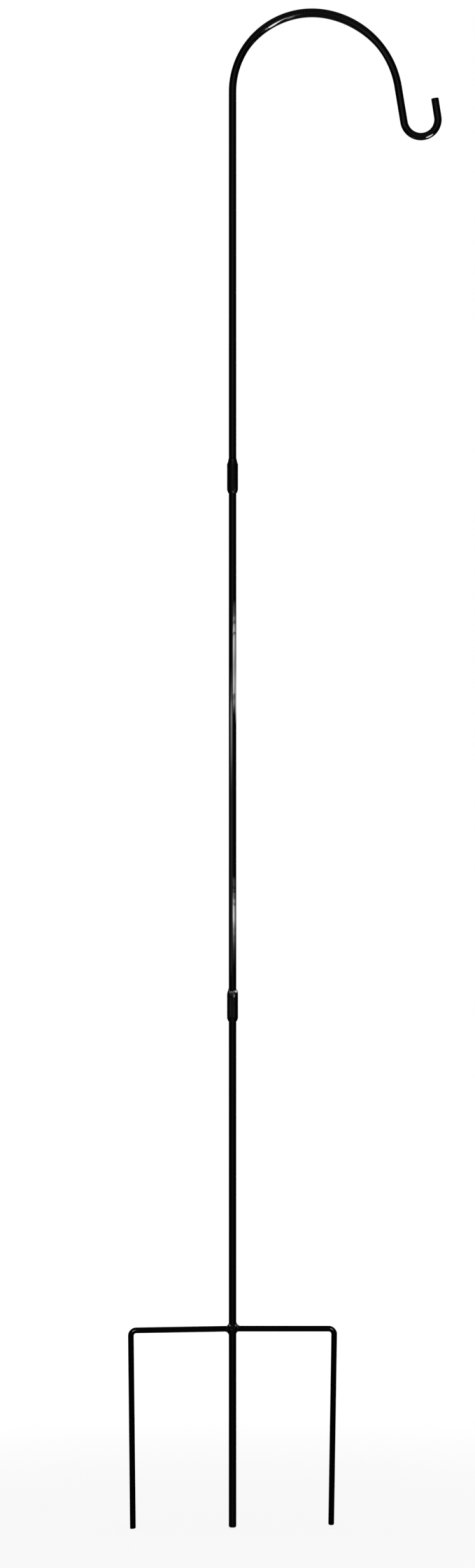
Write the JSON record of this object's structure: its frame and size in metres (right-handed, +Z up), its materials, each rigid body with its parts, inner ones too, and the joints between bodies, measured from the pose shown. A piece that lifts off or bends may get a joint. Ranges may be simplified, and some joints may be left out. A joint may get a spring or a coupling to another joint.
{
  "type": "shepherd's hook",
  "caption": "Sectional garden pole with a crook and a small upturned hook on top, sleeve couplings between its rods, and a fork with prongs for the soil.",
  "frame": {"origin": "on the pole's axis at the ground line, level with the underside of the crossbar where it meets the pole", "axes": "+Z up along the pole, +X from the pole towards the hook, +Y away from the viewer, square to the plane of the crook and the fork"},
  "size_m": [0.4293, 0.0148, 2.0827],
  "materials": {
    "rod_paint": "gloss black coating on steel rod",
    "sleeve_paint": "gloss black coating on turned steel",
    "weld_paint": "gloss black coating pooled over weld beads"
  },
  "bodies": {
    "stake_section": {"stake_rod": "rod_paint", "left_prong": "rod_paint", "right_prong": "rod_paint", "left_prong_weld": "weld_paint", "right_prong_weld": "weld_paint"},
    "lower_coupling": {"lower_sleeve": "sleeve_paint"},
    "middle_section": {"middle_rod": "rod_paint", "middle_rod_bead": "weld_paint"},
    "upper_coupling": {"upper_sleeve": "sleeve_paint"},
    "hook_section": {"hook_rod": "rod_paint", "hook_rod_bead": "weld_paint"}
  },
  "joints": [
    {"name": "lower_coupling_lift", "type": "slide", "parent": "stake_section", "child": "lower_coupling", "axis": [0, 0, 1], "range_m": [0, 0.03]},
    {"name": "middle_section_turn", "type": "hinge", "parent": "lower_coupling", "child": "middle_section", "pos_m": [0, 0, 0.4585], "axis": [0, 0, 1], "continuous": true},
    {"name": "upper_coupling_lift", "type": "slide", "parent": "middle_section", "child": "upper_coupling", "axis": [0, 0, 1], "range_m": [0, 0.03]},
    {"name": "hook_section_turn", "type": "hinge", "parent": "upper_coupling", "child": "hook_section", "pos_m": [0, 0, 1.182], "axis": [0, 0, 1], "continuous": true}
  ]
}
